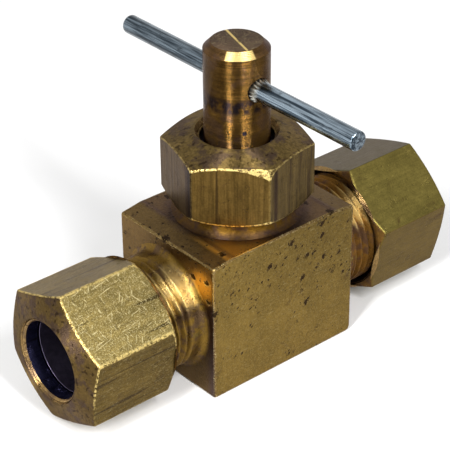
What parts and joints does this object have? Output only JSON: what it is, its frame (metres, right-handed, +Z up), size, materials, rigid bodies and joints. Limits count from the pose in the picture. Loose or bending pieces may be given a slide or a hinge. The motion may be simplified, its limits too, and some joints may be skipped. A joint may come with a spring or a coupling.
{
  "type": "needle valve",
  "caption": "Straight brass needle valve with compression ends for tube and a cross-bar handle; the screwed stem meters flow through a cone seat.",
  "frame": {"origin": "middle of the body's bottom face, under the stem's axis", "axes": "+Z up the stem, +X along the run from the inlet to the outlet, Y along the handle bar at rest"},
  "size_m": [0.0578, 0.0406, 0.0409],
  "materials": {
    "body_brass": "sawn and turned, tarnished",
    "packing_nut_brass": "drawn bar, turned ends",
    "nut_brass": "drawn bar, tumbled",
    "gland_brass": "turned",
    "ferrule_brass": "turned",
    "stem_brass": "turned, tarnished",
    "tip_steel": "ground",
    "bar_steel": "bright zinc plate",
    "packing": "moulded fluoropolymer"
  },
  "bodies": {
    "valve_body": {"valve_body": "body_brass", "packing_washer": "gland_brass", "packing_ring_lower": "packing", "packing_ring_middle": "packing", "packing_ring_upper": "packing"},
    "needle_tip": {"needle_tip": "tip_steel"},
    "stem": {"stem": "stem_brass", "handle_bar": "bar_steel"},
    "gland_follower": {"gland_follower": "gland_brass"},
    "packing_nut": {"packing_nut": "packing_nut_brass"},
    "inlet_ferrule": {"inlet_ferrule": "ferrule_brass"},
    "inlet_nut": {"inlet_compression_nut": "nut_brass"},
    "outlet_ferrule": {"outlet_ferrule": "ferrule_brass"},
    "outlet_nut": {"outlet_compression_nut": "nut_brass"}
  },
  "joints": [
    {"name": "stem_rise", "type": "slide", "parent": "valve_body", "child": "needle_tip", "axis": [0, 0, 1], "range_m": [0, 0.00318]},
    {"name": "stem_turn", "type": "hinge", "parent": "needle_tip", "child": "stem", "pos_m": [0, 0, 0.03588], "axis": [0, 0, 1], "range_deg": [0, 1080]},
    {"name": "gland_rise", "type": "slide", "parent": "valve_body", "child": "gland_follower", "axis": [0, 0, 1], "range_m": [0, 0.00318]},
    {"name": "packing_nut_turn", "type": "hinge", "parent": "gland_follower", "child": "packing_nut", "pos_m": [0, 0, 0.0245], "axis": [0, 0, 1], "range_deg": [0, 1080]},
    {"name": "inlet_ferrule_slide", "type": "slide", "parent": "valve_body", "child": "inlet_ferrule", "axis": [-1, 0, 0], "range_m": [0, 0.00529]},
    {"name": "inlet_nut_turn", "type": "hinge", "parent": "inlet_ferrule", "child": "inlet_nut", "pos_m": [-0.0226, 0, 0.00915], "axis": [-1, 0, 0], "range_deg": [0, 1800]},
    {"name": "outlet_ferrule_slide", "type": "slide", "parent": "valve_body", "child": "outlet_ferrule", "axis": [1, 0, 0], "range_m": [0, 0.00529]},
    {"name": "outlet_nut_turn", "type": "hinge", "parent": "outlet_ferrule", "child": "outlet_nut", "pos_m": [0.0226, 0, 0.00915], "axis": [1, 0, 0], "range_deg": [0, 1800]}
  ],
  "couplings": [
    {"joint": "stem_rise", "follows": "stem_turn", "m_per_rad": 0.00016844},
    {"joint": "gland_rise", "follows": "packing_nut_turn", "m_per_rad": 0.00016844},
    {"joint": "inlet_ferrule_slide", "follows": "inlet_nut_turn", "m_per_rad": 0.00016844},
    {"joint": "outlet_ferrule_slide", "follows": "outlet_nut_turn", "m_per_rad": 0.00016844}
  ]
}
